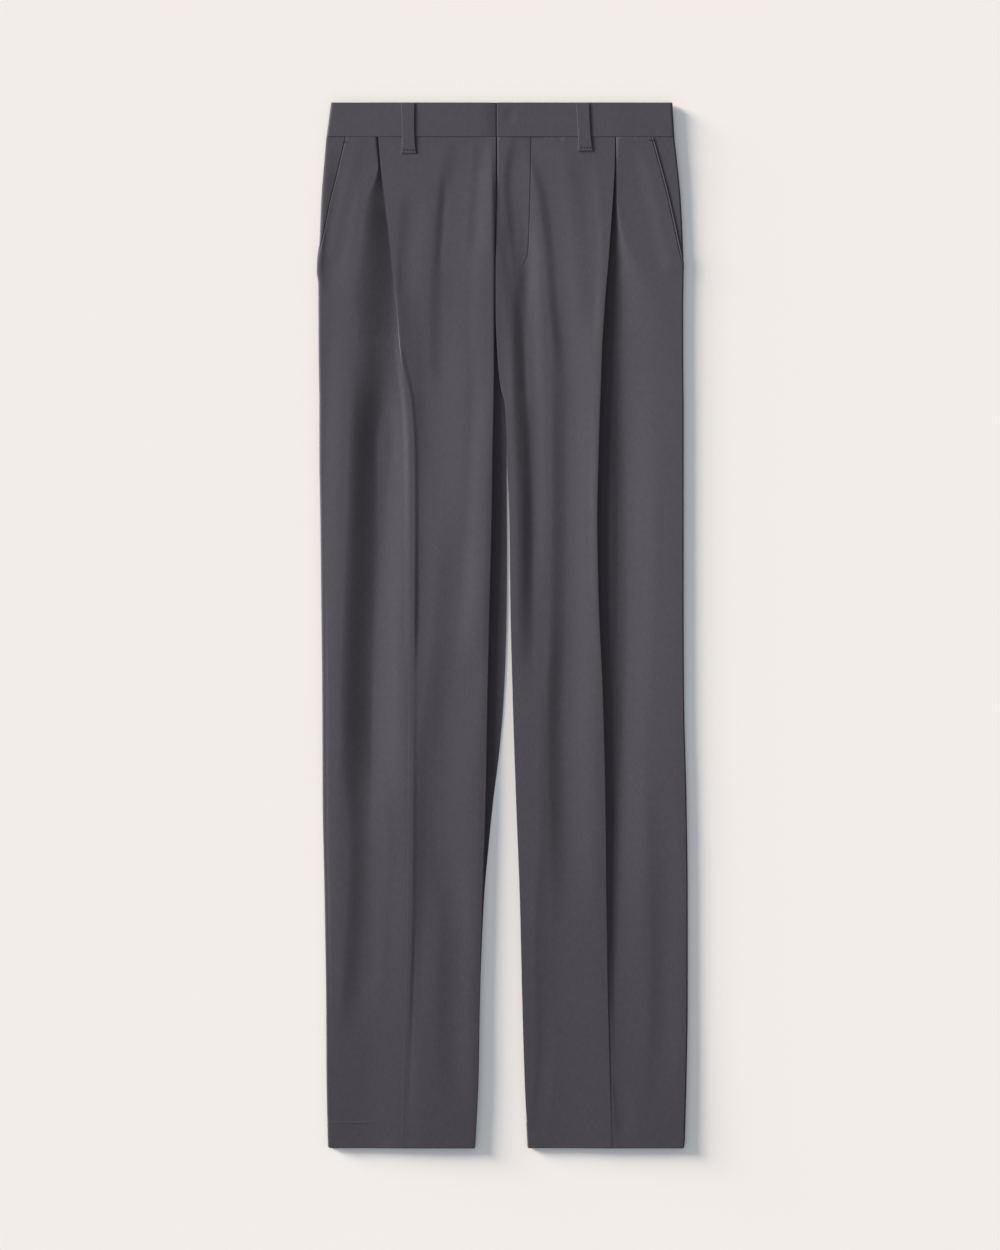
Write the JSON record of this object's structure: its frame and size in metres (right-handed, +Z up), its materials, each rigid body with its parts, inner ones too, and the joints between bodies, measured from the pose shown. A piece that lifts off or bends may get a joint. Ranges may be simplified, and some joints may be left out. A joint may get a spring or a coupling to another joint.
{
  "type": "trousers",
  "caption": "Pleated dress trousers in dark grey suiting, laid flat on their back with the front up: waistband with belt loops, slanted pockets, fly and turned-up hems.",
  "frame": {"origin": "centre of the outline at the surface that the trousers lie on", "axes": "+Y from hems to waistband, +Z up off the surface towards the front of the trousers, +X to the wearer's left"},
  "size_m": [0.3906, 1.1001, 0.0092],
  "materials": {
    "cloth": "fine matte twill",
    "zip_tape": "woven tape",
    "dark_metal": "dull"
  },
  "bodies": {
    "root": {"front_panel_right": "cloth", "front_panel_left": "cloth", "back_panel_right": "cloth", "back_panel_left": "cloth", "waistband_right": "cloth", "waistband_left": "cloth", "pocket_facing_right": "cloth", "pocket_facing_left": "cloth", "fly_underlap": "cloth", "fly_zip": "zip_tape", "fly_zip_slider": "dark_metal", "waist_hook": "dark_metal", "waist_bar": "dark_metal", "belt_loop_front_right": "cloth", "belt_loop_front_left": "cloth", "belt_loop_back_right": "cloth", "belt_loop_back_centre": "cloth", "belt_loop_back_left": "cloth"}
  },
  "joints": []
}
